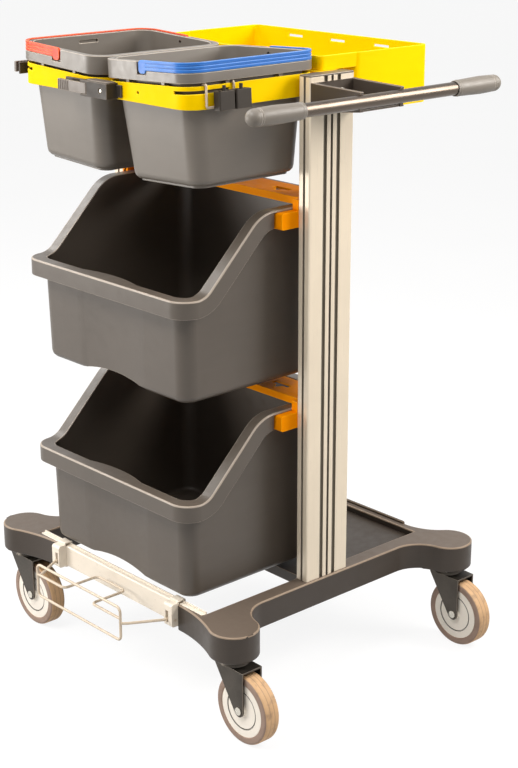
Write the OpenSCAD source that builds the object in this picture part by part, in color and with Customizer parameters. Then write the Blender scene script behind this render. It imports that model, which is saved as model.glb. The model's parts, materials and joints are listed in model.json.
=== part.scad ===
// Janitor cart: moulded base on casters, two posts, two hooded bins, two pails and a rear tray.
// +Z up, -Y is the open front of the bins, +X is the side with the push handle.

/* [Casters] */
// Wheel diameter over the tread
wheel_d = 125; // [115:1:135]
// Wheel width over the tread
wheel_w = 32; // [28:1:38]
// Distance from the swivel axis to the axle
caster_trail = 35; // [30:1:40]
// Distance between the swivel axes, front to back
swivel_span_y = 539; // [530:1:570]
// Axle diameter
axle_d = 8; // [6:0.5:10]
// Kingpin diameter
kingpin_d = 12; // [10:1:14]
// Thickness of the fork sheet
fork_t = 3; // [2:0.5:4]
// Diameter of the hub disc that carries the tyre
hub_d = 98; // [90:1:102]

/* [Base] */
// Height of the moulded base frame
base_h = 50; // [45:1:60]
// Width of each side rail
rail_w = 31; // [28:1:40]
// Radius of each caster pad
pad_r = 44; // [40:1:48]
// Radius of the hollow curve between a rail and a pad
side_blend_r = 58; // [50:1:70]
// Wall thickness of the base mouldings
base_wall = 4; // [3:0.5:5]
// Front edge of the rear deck
deck_front_y = -35; // [-50:1:-20]
// Rear face of the base between the rear pads
deck_back_y = 262; // [255:1:265]
// Depth of the deck floor below the base top
deck_drop = 12; // [8:1:16]
// Height of the rear rim above the base top
rear_rim_h = 5; // [3:0.5:8]
// Length of the rear rim
rear_rim_l = 400; // [360:1:420]

/* [Front bar and wire rack] */
// Front face of the cross bar
bar_front_y = -283; // [-286:1:-280]
// Thickness of the cross bar, front to back
bar_t = 12; // [10:0.5:14]
// Height of the cross bar
bar_h = 40; // [36:1:44]
// Distance between the two wire clamps
clamp_gap = 310; // [290:1:320]
// Width of a wire clamp
clamp_w = 22; // [20:1:26]
// Wire diameter of the rack
rack_wire_d = 5; // [4:0.5:6]
// Width of the rack's front loop
rack_w = 246; // [220:1:260]
// Height of the rack's front loop
rack_h = 62; // [55:1:64]
// Reach of the rack's loop in front of its pins
rack_reach = 78; // [70:1:85]

/* [Posts] */
// Width of a post, front to back
post_w = 100; // [90:1:110]
// Thickness of a post, side to side
post_t = 27; // [24:1:29]
// Length of a post
post_l = 892; // [880:1:920]
// Middle of the posts, front to back
post_y = -12; // [-16:1:-8]
// Wall thickness of the post section
post_wall = 2.5; // [2:0.1:3]

/* [Bins] */
// Width of a bin over its rim
bin_w = 444; // [436:1:460]
// Depth of a bin over its rim
bin_d = 382; // [375:1:390]
// Front edge of the bins' lips
bin_front_y = -302; // [-308:1:-296]
// Height of a bin at its low front lip
bin_lip_h = 184; // [175:1:195]
// Height of a bin at its rear rim
bin_back_h = 307; // [300:1:315]
// Height of the lower bin's floor above the ground
bin_low_z = 210; // [208:1:216]
// Height from the lower bin to the upper bin
bin_pitch = 354; // [350:1:360]
// Height of the rim's skirt
bin_skirt = 30; // [26:1:34]
// Overhang of the rim outside the walls
bin_over = 20; // [18:1:22]
// Wall thickness of a bin
bin_wall = 3; // [2.5:0.1:4]

/* [Pails] */
// Width of a pail over its rim
pail_w = 224; // [214:1:226]
// Depth of a pail over its rim
pail_d = 284; // [270:1:290]
// Height of a pail
pail_h = 200; // [190:1:205]
// Gap between the two pail rims
pail_gap = 8; // [6:1:12]
// Lean of each pail towards the other, degrees
pail_lean = 2.5; // [0:0.5:3]
// Height of a pail's rim band
pail_rim_h = 30; // [28:1:34]
// Thickness of a pail's swing handle
bail_t = 5; // [4:0.5:5]
// Height of the swing handle's strap
bail_h = 16; // [14:1:16]

/* [Pail holder and tray] */
// Height of the holder's ring band
band_h = 36; // [30:1:42]
// Thickness of the ring band
band_t = 3.5; // [3:0.1:4]
// Width of the rear tray
tray_w = 446; // [440:1:460]
// Depth of the rear tray behind its neck
tray_d = 182; // [170:1:200]
// Height of the rear tray
tray_h = 100; // [90:1:110]
// Width of the tray's neck between the posts
neck_w = 440; // [400:1:444]
// Depth of the tray's neck
neck_d = 78; // [72:1:84]
// Wall thickness of the tray
tray_wall = 3.5; // [3:0.1:4]

/* [Handle] */
// Diameter of the handle tube
handle_d = 22; // [20:1:25]
// Length of the handle over its grips
handle_l = 569; // [540:1:600]
// Reach from the post face to the handle's middle
handle_reach = 110; // [100:1:120]
// Height of the handle's middle above the ground
handle_z = 1062; // [1050:1:1066]
// Length of a hand grip
grip_l = 112; // [100:1:125]
// Largest diameter of a hand grip
grip_d = 30; // [28:1:34]

/* [Hidden] */
$fn = 64;
hull_fn = 32;
grey = [0.36, 0.33, 0.30];
dark = [0.22, 0.20, 0.18];
cream = [0.92, 0.88, 0.82];
champagne = [0.86, 0.79, 0.70];
zinc = [0.55, 0.54, 0.52];
yellow = [1.0, 0.82, 0.05];
orange = [1.0, 0.60, 0.05];

// Clearances
run_clear = 0.05;
swivel_clear = 0.3;
slide_clear = 0.5;
bail_clear = 0.5;

// Widths, from the bins out to the posts, the rails and the caster stems
bin_side_gap = 15;
post_inset = 4;
stem_reach = 36.5;
post_in = bin_w / 2 + bin_side_gap;
post_out = post_in + post_t;
rail_out = post_out + post_inset;
rail_in = rail_out - rail_w;
stem_x = rail_out + stem_reach;

// Caster stack, from the ground up
axle_z = wheel_d / 2;
wheel_side_clear = 3;
fork_in = wheel_w / 2 + wheel_side_clear;
fork_out = fork_in + fork_t;
crown_z = wheel_d + 8;
dish_z = crown_z + fork_t;
dish_h = 6;
race_z = dish_z + dish_h + swivel_clear;
race_h = 7.7;
race_r = 26;
base_z = race_z + race_h;
base_top = base_z + base_h;
stem_y = swivel_span_y / 2;
kingpin_r = kingpin_d / 2;
kingpin_up = 30;

// Base plan
arm_skin = 3;
arm_front_y = bar_front_y - arm_skin;
bar_back_y = bar_front_y + bar_t;
clamp_in = clamp_gap / 2;
clamp_out = clamp_in + clamp_w;
rear_beam_t = 16;
rear_beam_y = deck_back_y - rear_beam_t;
deck_t = 4;
deck_z = base_top - deck_drop;

// Rack pins, in the clamps
pin_y = bar_front_y - 9;
pin_z = base_top - 28;
clamp_slot_w = rack_wire_d + 2;
clamp_slot_h = 16;
clamp_slot_x = clamp_in + 8;
rack_y = pin_y - rack_reach;
rack_top_z = base_top + 1;
rack_low_z = rack_top_z - rack_h;
shelf_z = rack_top_z - 20;

// Posts
post_top = base_top + post_l;
post_front = post_y - post_w / 2;
post_back = post_y + post_w / 2;
cap_t = 3;

// Bin section, front to back
bin_back_y = bin_front_y + bin_d;
bin_wall_front = bin_front_y + bin_over;
bin_wall_back = bin_back_y - bin_over;
bin_wall_x = bin_w / 2 - bin_over;
bin_draft = 4;
bin_slope = 45;
bin_lip_run = 50;
bin_slope_y0 = bin_front_y + bin_lip_run;
bin_slope_y1 = bin_slope_y0 + (bin_back_h - bin_lip_h) / tan(bin_slope);
bin_valley_r = 40;
bin_hill_r = 70;
bin_flat_y = bin_slope_y1 + bin_hill_r * tan(bin_slope / 2);
bin_flange_t = 4;
bin_skirt_end = bin_flat_y - 2;
bin_corner_r = 28;
bin_foot_r = 12;
bin_panel_w = 188;

// Bin carriers
arm_front = bin_skirt_end + 4;
arm_h = 28;
carrier_gap = 1.5;
carrier_top_t = 13;
cheek_in = bin_w / 2 + 1;

// Pails and their holder
pail_x = (pail_gap + pail_w) / 2;
pail_front_y = -289;
pail_mid_y = pail_front_y + pail_d / 2;
pail_over = 10;
pail_wall = 2.5;
foot_h = 3;
pail_corner_r = 36;
pail_foot_r = 12;
pail_taper_w = 22;
pail_taper_d = 40;
pail_foot_w = pail_w - 2 * pail_over - pail_taper_w;
pail_foot_d = pail_d - 2 * pail_over - pail_taper_d;
pail_top_z = post_top + 29;
pail_seat = 5;
bail_pivot_z = -10;
bail_leg_w = 18;
bail_leg_low = -19;
bail_leg_r = 6;
bail_pin_r = 3;
bail_rise = 2;
band_in = 3;
ring_w = pail_w - 2 * band_in;
ring_d = pail_d - 2 * band_in;
ring_top = -pail_rim_h - pail_seat;
ring_front_y = pail_mid_y - ring_d / 2;
ring_back_y = pail_mid_y + ring_d / 2;
ring_hole_x = -18;
ring_dip_z = pail_top_z + ring_top - pail_w / 2 * sin(pail_lean);
beam_top = post_top - 2;
beam_low = beam_top - band_h;
beam_front_y = pail_mid_y + pail_d / 2 + 1;

// Tray
tray_top = beam_top + 24;
tray_low = tray_top - tray_h;
neck_front = beam_front_y + 7;
tray_front = neck_front + neck_d;
tray_back = tray_front + tray_d;
neck_floor = beam_top;

// Handle
handle_x = post_out + handle_reach;
handle_r = handle_d / 2;
bracket_wing = 8;
bracket_plate = 5;
bracket_top = post_top - 11;
bracket_h = 48;
bracket_low = bracket_top - bracket_h;

// Broom clips
clip_l = 139;
clip_h = 26;
clip_reach = 24;
clip_block = 72;
clip_tail = 12;
clip_x = 50;
lever_pin_r = 2.5;
lever_eye_r = 5;
lever_low = 4;
lever_h = 18;
lever_x = -clip_block + 12;
lever_y = -clip_reach + 6;

// Hook on the right ring
hook_d = 4;
hook_w = 57;
hook_y0 = -ring_d / 2 + pail_corner_r - 2;
hook_y1 = hook_y0 + hook_w;

// Box of the whole cart, to put its middle on the origin
min_x = -stem_x - pad_r;
max_x = stem_x + caster_trail + wheel_d / 2;
min_y = rack_y - rack_wire_d / 2;
max_y = stem_y + pad_r;
mid_x = (min_x + max_x) / 2;
mid_y = (min_y + max_y) / 2;

module placed() {
    translate([-mid_x, -mid_y, 0]) children();
}

// Shared shapes

function unit(v) = v / norm(v);

// Point where a line from p touches the circle at c, on the given side
function touch(c, r, p, side) =
    let (a = atan2(p.y - c.y, p.x - c.x) + side * acos(r / norm(p - c)))
    c + r * [cos(a), sin(a)];

module rounded(w, d, r) {
    square([w - 2 * r, d], center = true);
    square([w, d - 2 * r], center = true);
    for (x = [-1, 1], y = [-1, 1])
        translate([x * (w / 2 - r), y * (d / 2 - r)]) circle(r);
}

// Rounded rectangle between two corners
module rounded_at(a, b, r) {
    translate((a + b) / 2) rounded(b.x - a.x, b.y - a.y, r);
}

module slab(a, b) {
    translate(a) cube(b - a);
}

// Extrude a front to back outline (y, z) across x
module across(x0, x1) {
    translate([x0, 0, 0]) rotate([90, 0, 90]) linear_extrude(x1 - x0) children();
}

// Extrude a side to side outline (x, z) along y
module along(y0, y1) {
    translate([0, y1, 0]) rotate([90, 0, 0]) linear_extrude(y1 - y0) children();
}

// Filled corner between a straight edge at t and a circle about p, left hollow by a circle about f
module blend(p, f, t, r) {
    foot = abs(f.x - t.x) > abs(f.y - t.y) ? [t.x, p.y] : [p.x, t.y];
    difference() {
        polygon([p, f, t, foot]);
        translate(f) circle(r, $fn = 128);
    }
}

// Points of a bent wire: each inner corner becomes an arc of radius r
function bend(a, b, c, r, n) =
    let (u = unit(a - b), v = unit(c - b), turn = 180 - acos(u * v))
    let (start = b + u * r * tan(turn / 2), end = b + v * r * tan(turn / 2))
    let (mid = b + unit(u + v) * r / cos(turn / 2))
    [for (i = [0 : n])
        mid + ((start - mid) * sin(turn * (1 - i / n)) + (end - mid) * sin(turn * i / n)) / sin(turn)];

function bent_path(p, r, n = 4) = concat(
    [p[0]],
    [for (i = [1 : len(p) - 2]) each bend(p[i - 1], p[i], p[i + 1], r, n)],
    [p[len(p) - 1]]);

function bent_loop(p, r, n = 4) =
    [for (i = [0 : len(p) - 1])
        each bend(p[(i + len(p) - 1) % len(p)], p[i], p[(i + 1) % len(p)], r, n)];

function heading(p, i, closed) =
    let (n = len(p))
    closed ? unit(p[(i + 1) % n] - p[(i + n - 1) % n]) : unit(p[min(i + 1, n - 1)] - p[max(i - 1, 0)]);

function carry(n, t) = unit(n - (n * t) * t);

function side_vectors(p, closed, n, i = 0) =
    i == len(p) ? [] :
    let (m = carry(n, heading(p, i, closed)))
    concat([m], side_vectors(p, closed, m, i + 1));

// Round wire along the points of a path
module wire(p, d, up, closed = false, sides = 10) {
    count = len(p);
    across_dir = side_vectors(p, closed, up);
    points = [for (i = [0 : count - 1])
        let (t = heading(p, i, closed), n = across_dir[i], b = cross(t, n))
        for (k = [0 : sides - 1])
            p[i] + d / 2 * (cos(360 * k / sides) * n + sin(360 * k / sides) * b)];
    spans = closed ? count : count - 1;
    walls = [for (i = [0 : spans - 1], k = [0 : sides - 1])
        let (a = i * sides, c = ((i + 1) % count) * sides, k2 = (k + 1) % sides)
        each [[a + k, c + k2, a + k2], [a + k, c + k, c + k2]]];
    ends = closed ? [] : [
        [for (k = [0 : sides - 1]) k],
        [for (k = [sides - 1 : -1 : 0]) (count - 1) * sides + k]];
    polyhedron(points, concat(walls, ends), convexity = 6);
}

// Casters

module caster_at(side, end) {
    placed() translate([side * stem_x, end * stem_y, 0]) children();
}

module fork_leg() {
    axle = [caster_trail, axle_z];
    lobe = 11;
    front_top = [-24, crown_z];
    back = caster_trail + lobe;
    difference() {
        union() {
            polygon([
                front_top, [front_top.x, dish_z], [back, dish_z], [back, axle_z],
                axle, touch(axle, lobe, front_top, 1)]);
            translate(axle) circle(lobe);
        }
        translate(axle) circle(axle_d / 2 + run_clear);
    }
}

module fork() {
    color(zinc) difference() {
        union() {
            along(-fork_out, -fork_in) fork_leg();
            along(fork_in, fork_out) fork_leg();
            slab([-24, -fork_out, crown_z], [caster_trail + 11, fork_out, dish_z]);
            translate([0, 0, dish_z]) cylinder(h = dish_h, r1 = race_r, r2 = race_r - 3);
        }
        translate([0, 0, crown_z - 1]) cylinder(h = dish_h + fork_t + 2, r = kingpin_r + run_clear);
    }
}

module axle() {
    head_r = axle_d / 2 + 3;
    head_t = 2;
    color(zinc) translate([caster_trail, 0, axle_z]) rotate([90, 0, 0]) {
        cylinder(h = 2 * fork_out, r = axle_d / 2, center = true);
        for (s = [-1, 1])
            translate([0, 0, s * (fork_out + head_t / 2)]) cylinder(h = head_t, r = head_r, center = true);
    }
}

module wheel_turned() {
    translate([caster_trail, 0, axle_z]) rotate([90, 0, 0]) rotate_extrude($fn = 128) children();
}

module hub_ring(r0, r1, w) {
    translate([r0, -w / 2]) square([r1 - r0, w]);
}

module hub() {
    bore = axle_d / 2 + run_clear;
    boss_w = 2 * (fork_in - swivel_clear);
    disc_r = hub_d / 2 - 15;
    groove = 1.6;
    color(cream) wheel_turned() {
        hub_ring(bore, bore + 7, boss_w);
        hub_ring(bore, disc_r, wheel_w - 3);
        hub_ring(bore, hub_d / 2, wheel_w - 8);
        hub_ring(disc_r + groove, hub_d / 2, wheel_w - 2);
    }
}

module tyre() {
    edge = 5;
    color([0.72, 0.60, 0.48]) wheel_turned() {
        hub_ring(hub_d / 2, wheel_d / 2 - edge, wheel_w);
        hub_ring(hub_d / 2, wheel_d / 2, wheel_w - 2 * edge);
        for (s = [-1, 1]) translate([wheel_d / 2 - edge, s * (wheel_w / 2 - edge)]) circle(edge);
    }
}

module swivel_races() {
    color(zinc) for (side = [-1, 1], end = [-1, 1]) caster_at(side, end) {
        translate([0, 0, race_z]) cylinder(h = race_h, r = race_r);
        translate([0, 0, crown_z - 5]) cylinder(h = base_z + kingpin_up - crown_z + 5, r = kingpin_r);
        translate([0, 0, crown_z - 5]) cylinder(h = 5 - swivel_clear, r = kingpin_r + 4);
    }
}

// Base

// The hollow curves run into the pads just inside their edge
meet_r = pad_r - 0.1;

// Middle of the hollow side curve by a pad, on the given side and end
function side_blend_at(side, end) =
    let (fx = rail_out + side_blend_r)
    let (dy = sqrt(pow(meet_r + side_blend_r, 2) - pow(fx - stem_x, 2)))
    [side * fx, end * (stem_y - dy)];

// Radius of a curve that leaves the line y = edge at x = start and meets a pad, both measured outwards
function end_blend_r(edge, start) =
    (pow(stem_x - start, 2) + pow(edge - stem_y, 2) - pow(meet_r, 2)) / (2 * (meet_r - edge + stem_y));

module end_blend(side, end, edge, start) {
    r = end_blend_r(edge, start);
    f = [side * start, end * (edge + r)];
    blend([side * stem_x, end * stem_y], f, [side * start, end * edge], r);
}

module base_plan() {
    for (side = [-1, 1]) {
        for (end = [-1, 1]) {
            translate([side * stem_x, end * stem_y]) circle(pad_r, $fn = 128);
            f = side_blend_at(side, end);
            blend([side * stem_x, end * stem_y], f, [side * rail_out, f.y], side_blend_r);
        }
        end_blend(side, -1, -arm_front_y, clamp_out);
        end_blend(side, 1, deck_back_y, rear_rim_l / 2);
        mirror([side < 0 ? 1 : 0, 0]) {
            translate([rail_in, bar_back_y]) square([rail_w, rear_beam_y - bar_back_y]);
            translate([clamp_out, arm_front_y]) square([stem_x - clamp_out, arm_skin]);
            translate([rail_in, arm_front_y]) square([stem_x - rail_in, -arm_front_y - stem_y]);
            translate([0, rear_beam_y]) square([stem_x, rear_beam_t]);
        }
    }
}

// Hollow underside of a rail, with cross ribs left standing
module rail_pockets() {
    rib_gap = 66;
    reach = stem_y - pad_r;
    count = floor(2 * reach / rib_gap);
    cell = 2 * reach / count;
    for (i = [0 : count - 1])
        slab([rail_in + base_wall, -reach + i * cell + base_wall / 2, base_z - 1],
             [rail_out - base_wall, -reach + (i + 1) * cell - base_wall / 2, base_top - base_wall]);
}

// Hollow underside of a pad, round the kingpin boss
module pad_pocket() {
    translate([0, 0, base_z - 1]) difference() {
        cylinder(h = base_h - base_wall + 1, r = pad_r - base_wall);
        cylinder(h = base_h, r = race_r - 2);
        for (a = [0, 90]) rotate(a)
            translate([-pad_r, -base_wall / 2, 0]) cube([2 * pad_r, base_wall, base_h]);
    }
}

module base_frame() {
    color(grey) placed() difference() {
        union() {
            translate([0, 0, base_z]) linear_extrude(base_h) base_plan();
            slab([-rear_rim_l / 2, deck_back_y - base_wall, base_top - 1],
                 [rear_rim_l / 2, deck_back_y, base_top + rear_rim_h]);
        }
        slab([-rail_in, bar_front_y, base_top - bar_h], [rail_in, bar_back_y, base_top + 1]);
        for (side = [-1, 1]) {
            mirror([side < 0 ? 1 : 0, 0, 0]) rail_pockets();
            for (end = [-1, 1]) translate([side * stem_x, end * stem_y, 0]) {
                pad_pocket();
                translate([0, 0, base_z - 1]) cylinder(h = kingpin_up + 1, r = kingpin_r + run_clear);
            }
        }
    }
}

module rear_deck() {
    rib_t = 3;
    rib_h = 16;
    rib_z = deck_z - deck_t - rib_h;
    length = rear_beam_y - deck_front_y;
    color(grey) placed() {
        slab([-rail_in, deck_front_y, deck_z - deck_t], [rail_in, rear_beam_y, deck_z]);
        slab([-rail_in, deck_front_y, rib_z], [rail_in, deck_front_y + deck_t, deck_z]);
        for (i = [1 : 3])
            translate([0, deck_front_y + i * length / 4, 0])
                slab([-rail_in, -rib_t / 2, rib_z], [rail_in, rib_t / 2, deck_z - 1]);
        for (i = [-2 : 2])
            translate([i * rail_in / 2.5, 0, 0])
                slab([-rib_t / 2, deck_front_y + 1, rib_z], [rib_t / 2, rear_beam_y, deck_z - 1]);
    }
}

// Front bar

module bar_section() {
    edge = 3;
    ridge_t = 2.5;
    low = base_top - bar_h;
    difference() {
        union() {
            translate([bar_front_y, low]) square([bar_t, bar_h - edge]);
            translate([bar_front_y + edge, low]) square([bar_t - edge, bar_h]);
            translate([bar_front_y + edge, base_top - edge]) circle(edge);
            translate([bar_back_y - ridge_t, base_top - 1]) square([ridge_t, 4]);
        }
        for (i = [0, 1])
            translate([bar_front_y + 2, low + 2 + i * (bar_h / 2 - 1)]) square([bar_t - 4, bar_h / 2 - 3]);
    }
}

module cross_bar() {
    color(cream) placed() across(-rail_in, rail_in) bar_section();
}

module wire_clamp() {
    wrap = 3;
    front = pin_y - 8;
    low = base_top - bar_h - wrap;
    top = base_top + 3 + wrap;
    difference() {
        across(clamp_in, clamp_out) union() {
            rounded_at([bar_front_y - wrap, low], [bar_back_y + wrap, top], 2.5);
            rounded_at([front, low + 2], [bar_front_y + 3, top - 4], 5);
        }
        slab([clamp_in - 1, bar_front_y, base_top - bar_h], [clamp_out + 1, bar_back_y, base_top + 3]);
        slab([clamp_slot_x - clamp_slot_w / 2, front - 1, pin_z - 6],
             [clamp_slot_x + clamp_slot_w / 2, bar_front_y - 3, pin_z + clamp_slot_h]);
        translate([clamp_slot_x, pin_y, pin_z]) rotate([0, 90, 0])
            cylinder(h = clamp_w, r = rack_wire_d / 2 + run_clear);
    }
}

module wire_clamps() {
    color(cream) placed() for (side = [0, 1]) mirror([side, 0, 0]) wire_clamp();
}

module wire_rack() {
    half = rack_w / 2;
    bow_x = rack_w / 6;
    bow_y = bar_front_y - 13;
    bend_r = 9;
    loop = [[-half, rack_y, rack_low_z], [half, rack_y, rack_low_z],
            [half, rack_y, rack_top_z], [-half, rack_y, rack_top_z]];
    shelf = [[-half, rack_y, shelf_z], [-bow_x, rack_y, shelf_z], [-bow_x, bow_y, shelf_z],
             [bow_x, bow_y, shelf_z], [bow_x, rack_y, shelf_z], [half, rack_y, shelf_z]];
    arm = [[clamp_slot_x, pin_y, pin_z], [clamp_slot_x, pin_y - 12, pin_z],
           [half + 8, rack_y + 10, pin_z], [half, rack_y, pin_z]];
    color(cream) placed() {
        wire(bent_loop(loop, bend_r), rack_wire_d, [0, 1, 0], closed = true);
        wire(bent_path(shelf, bend_r), rack_wire_d, [0, 0, 1]);
        for (side = [0, 1]) mirror([side, 0, 0]) {
            wire(bent_path(arm, bend_r), rack_wire_d, [0, 0, 1]);
            translate([clamp_slot_x - rack_wire_d / 2, pin_y, pin_z]) rotate([0, 90, 0])
                cylinder(h = clamp_out - clamp_slot_x + rack_wire_d / 2, r = rack_wire_d / 2);
        }
    }
}

// Posts

module post_section() {
    slot_w = 5;
    groove_w = 8;
    groove_at = 15;
    groove_d = 4;
    chamber = (post_w - 2 * groove_at - groove_w) / 2 - 2 * post_wall;
    difference() {
        rounded(post_t, post_w, 3);
        for (side = [-1, 1]) {
            for (g = [-1, 1])
                translate([side * post_t / 2, g * groove_at]) square([2 * groove_d, groove_w], center = true);
            translate([side * post_t / 2, 0]) square([4 * groove_d, slot_w], center = true);
            translate([0, side * post_w / 2]) square([slot_w, 2 * groove_d], center = true);
            translate([0, side * (post_w / 2 - groove_d - post_wall - chamber / 2)])
                square([post_t - 2 * post_wall, chamber - groove_d], center = true);
        }
        square([post_t - 4 * groove_d - 1, 2 * groove_at - groove_w], center = true);
    }
}

module post(side) {
    color(champagne) placed() translate([side * (post_in + post_t / 2), post_y, base_top])
        linear_extrude(post_l - cap_t) post_section();
}

module post_cap(side) {
    color(grey) placed() translate([side * (post_in + post_t / 2), post_y, post_top - cap_t])
        linear_extrude(cap_t) rounded(post_t, post_w, 3);
}

// Bins

// Side outline below the rim line, moved in by t square to the rim
module bin_under(t) {
    shift = t * tan(bin_slope / 2);
    valley = [bin_slope_y0 + shift, bin_lip_h - t];
    hill = [bin_slope_y1 + shift, bin_back_h - t];
    rise = [cos(bin_slope), sin(bin_slope)];
    valley_l = (bin_valley_r + t) * tan(bin_slope / 2);
    hill_l = (bin_hill_r - t) * tan(bin_slope / 2);
    valley_mid = [valley.x - valley_l, valley.y + bin_valley_r + t];
    hill_mid = [hill.x + hill_l, hill.y - bin_hill_r + t];
    front = bin_front_y - 1;
    back = bin_back_y + 1;
    difference() {
        union() {
            polygon([[front, -1], [front, valley.y], valley, hill, [back, hill.y], [back, -1]]);
            difference() {
                polygon([valley - [valley_l, 0], valley - [0, 5], valley + valley_l * rise, valley_mid]);
                translate(valley_mid) circle(bin_valley_r + t, $fn = 128);
            }
        }
        difference() {
            polygon([hill - hill_l * rise, hill + [0, 1], hill + [hill_l, 1], hill + [hill_l, 0], hill_mid]);
            translate(hill_mid) circle(bin_hill_r - t, $fn = 128);
        }
    }
}

module bin_band(t) {
    across(-bin_w / 2 - 1, bin_w / 2 + 1) difference() {
        bin_under(0);
        bin_under(t);
    }
}

// Level slice of the bin's tapered walls, moved in by t
module bin_slice(z, t) {
    front_draft = bin_draft / bin_lip_h;
    side_draft = bin_draft / bin_back_h;
    half = bin_wall_x - bin_draft + side_draft * z - t;
    front = bin_wall_front + bin_draft - front_draft * z + t;
    back = bin_wall_back - bin_draft + side_draft * z - t;
    translate([0, 0, z]) linear_extrude(0.01)
        rounded_at([-half, front], [half, back], bin_corner_r - t, $fn = hull_fn);
}

// Block of the bin's walls, moved in by t, with a rounded foot
module bin_block(t) {
    round_r = bin_foot_r - t;
    hull() {
        for (a = [0, 30, 60, 90]) bin_slice(t + round_r * (1 - cos(a)), t + round_r * (1 - sin(a)));
        bin_slice(bin_back_h + 20, t);
    }
}

// Finger arch under the front of the floor
module bin_arch(grow) {
    arch_w = bin_panel_w + 6;
    arch_h = 14;
    r = (pow(arch_w / 2, 2) + pow(arch_h, 2)) / (2 * arch_h);
    depth = 80;
    translate([0, bin_front_y, arch_h - r]) rotate([-90, 0, 0])
        cylinder(h = bin_over + bin_draft + depth + grow, r = r + grow, $fn = 256);
}

// Shallow hollow down the middle of the front wall
module bin_scoop(grow) {
    scoop_d = 4;
    scoop_low = 40;
    scoop_stop = 10;
    r = (pow(bin_panel_w / 2, 2) + pow(scoop_d, 2)) / (2 * scoop_d);
    lean = atan2(bin_draft, bin_lip_h);
    translate([0, bin_wall_front + bin_draft, 0]) rotate([lean, 0, 0])
        translate([0, scoop_d - r, -scoop_low])
            cylinder(h = bin_lip_h + scoop_low - scoop_stop, r = r + grow, $fn = 512);
}

module bin_shape() {
    rim_r = 36;
    pad_w = 150;
    pad_d = 11;
    pad_curve = (pow(pad_w / 2, 2) + pow(pad_d, 2)) / (2 * pad_d);
    lip_in = bin_wall_front + bin_wall;
    difference() {
        union() {
            difference() {
                intersection() {
                    bin_block(0);
                    across(-bin_w, bin_w) bin_under(0.5);
                }
                bin_scoop(0);
            }
            intersection() {
                bin_band(bin_flange_t);
                linear_extrude(bin_back_h + 1) rounded_at(
                    [-bin_w / 2, bin_front_y], [bin_w / 2, bin_back_y], rim_r);
            }
            intersection() {
                bin_band(bin_skirt);
                linear_extrude(bin_back_h + 1) difference() {
                    rounded_at([-bin_w / 2, bin_front_y], [bin_w / 2, bin_back_y], rim_r);
                    rounded_at([bin_wall - bin_w / 2, bin_front_y + bin_wall],
                               [bin_w / 2 - bin_wall, bin_back_y - bin_wall], rim_r - bin_wall);
                    translate([-bin_w, bin_skirt_end]) square([2 * bin_w, bin_d]);
                }
            }
        }
        difference() {
            bin_block(bin_wall);
            bin_arch(bin_wall);
            bin_scoop(bin_wall);
        }
        bin_arch(0);
    }
    intersection() {
        translate([0, lip_in + pad_d - pad_curve, bin_lip_h - bin_flange_t])
            cylinder(h = bin_flange_t, r = pad_curve, $fn = 256);
        slab([-bin_w / 2, bin_wall_front, 0], [bin_w / 2, bin_front_y + bin_d / 4, bin_lip_h]);
    }
}

module bin_at(level) {
    color(grey) placed() translate([0, 0, bin_low_z + level * bin_pitch]) bin_shape();
}

// Carrier that hangs a bin by its rim between the posts
module carrier(level) {
    seat = bin_low_z + level * bin_pitch + bin_back_h;
    arm_top = seat - bin_flange_t;
    plate_z = seat + carrier_gap;
    plate_front = post_y - 35;
    plate_back = post_y + 35;
    skin = 3;
    arm_in = bin_wall_x + 2;
    hole_l = 40;
    color(orange) placed() {
        difference() {
            slab([-post_in, plate_front, plate_z], [post_in, plate_back, plate_z + carrier_top_t]);
            slab([-cheek_in, plate_front + skin, plate_z - 1],
                 [cheek_in, plate_back - skin, plate_z + carrier_top_t - skin]);
            for (side = [-1, 1])
                translate([side * post_in * 0.61, post_y, plate_z]) linear_extrude(carrier_top_t + 1) {
                    square([hole_l, 10], center = true);
                    translate([0, -12]) polygon([[-10, 8], [10, 8], [0, -8]]);
                }
        }
        for (side = [0, 1]) mirror([side, 0, 0]) {
            slab([cheek_in, post_front, arm_top - arm_h], [post_in, post_back, plate_z + carrier_top_t]);
            difference() {
                across(arm_in, post_in - slide_clear)
                    rounded_at([arm_front, arm_top - arm_h], [bin_back_y - bin_over, arm_top], 4);
                slab([arm_in + skin, arm_front + 2 * skin, arm_top - arm_h - 1],
                     [cheek_in, bin_back_y, arm_top - skin]);
            }
        }
    }
}

// Pails, modelled upright with the rim's top at zero and the swing handle's side at +x

module pail_outline(inset) {
    rounded(pail_w - 2 * inset, pail_d - 2 * inset, pail_corner_r - inset);
}

module pail_block(t, low) {
    round_r = pail_foot_r - t;
    hull() {
        for (a = [0, 30, 60, 90])
            translate([0, 0, low + round_r * (1 - cos(a))]) linear_extrude(0.01)
                pail_slice(pail_foot_w, pail_foot_d, t + round_r * (1 - sin(a)));
        translate([0, 0, 5]) linear_extrude(0.01)
            pail_slice(pail_w - 2 * pail_over, pail_d - 2 * pail_over, t);
    }
}

module pail_slice(w, d, inset) {
    rounded(w - 2 * inset, d - 2 * inset, pail_corner_r - 6 - inset, $fn = hull_fn);
}

// Small stops inside the rim that stand on the ring
module pail_stops() {
    stop_w = 8;
    stop_out = band_in + band_t / 2;
    stop_x = pail_over + 3.5;
    stop_y = pail_over + 5;
    low = ring_top;
    top = -pail_rim_h + 9;
    for (s = [0, 1]) {
        mirror([s, 0, 0]) for (e = [-1, 1])
            slab([pail_w / 2 - stop_x, e * pail_d / 5 - stop_w / 2, low],
                 [pail_w / 2 - stop_out, e * pail_d / 5 + stop_w / 2, top]);
        mirror([0, s, 0]) for (e = [-1, 1])
            slab([e * pail_w / 5 - stop_w / 2, pail_d / 2 - stop_y, low],
                 [e * pail_w / 5 + stop_w / 2, pail_d / 2 - stop_out, top]);
    }
}

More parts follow.
